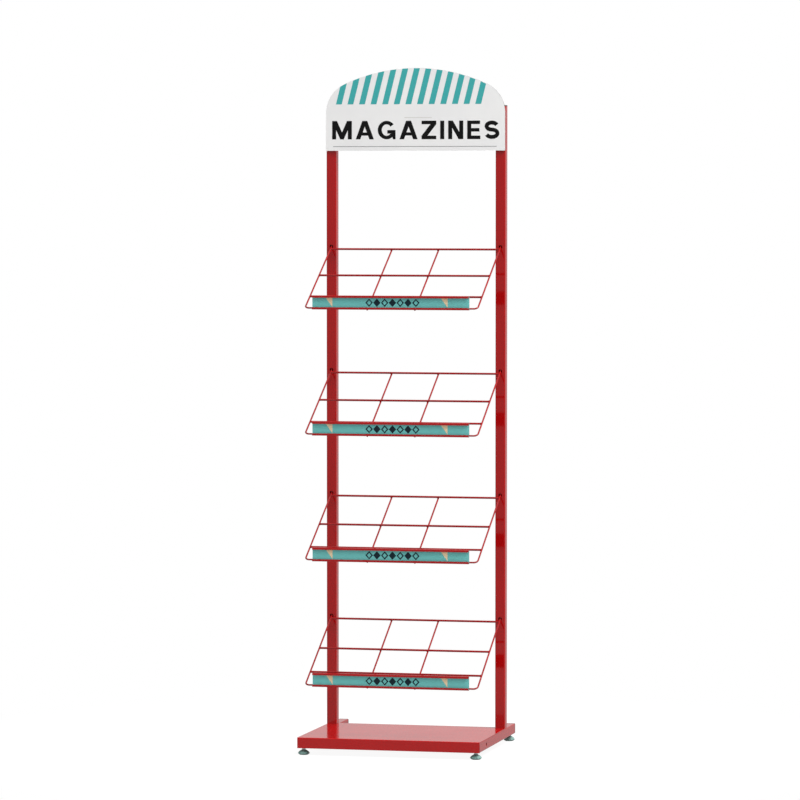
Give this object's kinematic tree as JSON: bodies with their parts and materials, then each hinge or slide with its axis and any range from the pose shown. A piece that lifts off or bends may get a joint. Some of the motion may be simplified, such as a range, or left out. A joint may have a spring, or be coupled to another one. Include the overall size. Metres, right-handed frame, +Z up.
{
  "type": "periodical display rack",
  "caption": "Floor-standing periodical rack: two square posts on a low base with sloping wire shelves that hook into the posts, front label channels and an arched header.",
  "frame": {"origin": "on the floor, at the middle of the footprint in X and Y", "axes": "+X to the right, +Y to the back, +Z up, seen from the side where the label channels are"},
  "size_m": [0.456, 0.421, 1.6675],
  "materials": {
    "red_paint": "gloss dark red enamel",
    "dark_plastic": "matt moulded",
    "foot_plastic": "satin moulded, grey-green",
    "zinc": "bright zinc plate",
    "header_board": "satin white with printed stripes",
    "foam_tape": "closed-cell foam",
    "label_print": "satin printed strip"
  },
  "bodies": {
    "stand": {"left_rail": "red_paint", "right_rail": "red_paint", "left_rail_cap": "dark_plastic", "right_rail_cap": "dark_plastic", "base_tray": "red_paint", "cross_rail": "red_paint", "cross_rail_plugs": "zinc", "cross_rail_screws": "zinc", "foot_nuts": "zinc", "left_post": "red_paint", "right_post": "red_paint", "left_post_cap": "dark_plastic", "right_post_cap": "dark_plastic", "post_plates": "zinc", "post_screws": "zinc", "header_panel": "header_board", "header_tapes": "foam_tape"},
    "shelf_1": {"shelf_1_frame": "red_paint", "shelf_1_cross_wires": "red_paint", "shelf_1_dividers": "red_paint", "shelf_1_channel": "red_paint"},
    "shelf_2": {"shelf_2_frame": "red_paint", "shelf_2_cross_wires": "red_paint", "shelf_2_dividers": "red_paint", "shelf_2_channel": "red_paint"},
    "shelf_3": {"shelf_3_frame": "red_paint", "shelf_3_cross_wires": "red_paint", "shelf_3_dividers": "red_paint", "shelf_3_channel": "red_paint"},
    "shelf_4": {"shelf_4_frame": "red_paint", "shelf_4_cross_wires": "red_paint", "shelf_4_dividers": "red_paint", "shelf_4_channel": "red_paint"},
    "label_1": {"label_1": "label_print"},
    "label_2": {"label_2": "label_print"},
    "label_3": {"label_3": "label_print"},
    "label_4": {"label_4": "label_print"},
    "front_left_foot": {"front_left_foot_pad": "foot_plastic", "front_left_foot_stud": "zinc"},
    "front_right_foot": {"front_right_foot_pad": "foot_plastic", "front_right_foot_stud": "zinc"},
    "rear_left_foot": {"rear_left_foot_pad": "foot_plastic", "rear_left_foot_stud": "zinc"},
    "rear_right_foot": {"rear_right_foot_pad": "foot_plastic", "rear_right_foot_stud": "zinc"}
  },
  "joints": [
    {"name": "shelf_1_tilt", "type": "hinge", "parent": "stand", "child": "shelf_1", "pos_m": [0, 0.08525, 1.22698], "axis": [-1, 0, 0], "range_deg": [0, 45]},
    {"name": "label_1_slide", "type": "slide", "parent": "shelf_1", "child": "label_1", "axis": [1, 0, 0], "range_m": [0, 0.38]},
    {"name": "shelf_2_tilt", "type": "hinge", "parent": "stand", "child": "shelf_2", "pos_m": [0, 0.08525, 0.92198], "axis": [-1, 0, 0], "range_deg": [0, 45]},
    {"name": "label_2_slide", "type": "slide", "parent": "shelf_2", "child": "label_2", "axis": [1, 0, 0], "range_m": [0, 0.38]},
    {"name": "shelf_3_tilt", "type": "hinge", "parent": "stand", "child": "shelf_3", "pos_m": [0, 0.08525, 0.61698], "axis": [-1, 0, 0], "range_deg": [0, 45]},
    {"name": "label_3_slide", "type": "slide", "parent": "shelf_3", "child": "label_3", "axis": [1, 0, 0], "range_m": [0, 0.38]},
    {"name": "shelf_4_tilt", "type": "hinge", "parent": "stand", "child": "shelf_4", "pos_m": [0, 0.08525, 0.31198], "axis": [-1, 0, 0], "range_deg": [0, 45]},
    {"name": "label_4_slide", "type": "slide", "parent": "shelf_4", "child": "label_4", "axis": [1, 0, 0], "range_m": [0, 0.38]},
    {"name": "front_left_foot_height", "type": "slide", "parent": "stand", "child": "front_left_foot", "axis": [0, 0, -1], "range_m": [0, 0.012]},
    {"name": "front_right_foot_height", "type": "slide", "parent": "stand", "child": "front_right_foot", "axis": [0, 0, -1], "range_m": [0, 0.012]},
    {"name": "rear_left_foot_height", "type": "slide", "parent": "stand", "child": "rear_left_foot", "axis": [0, 0, -1], "range_m": [0, 0.012]},
    {"name": "rear_right_foot_height", "type": "slide", "parent": "stand", "child": "rear_right_foot", "axis": [0, 0, -1], "range_m": [0, 0.012]}
  ]
}
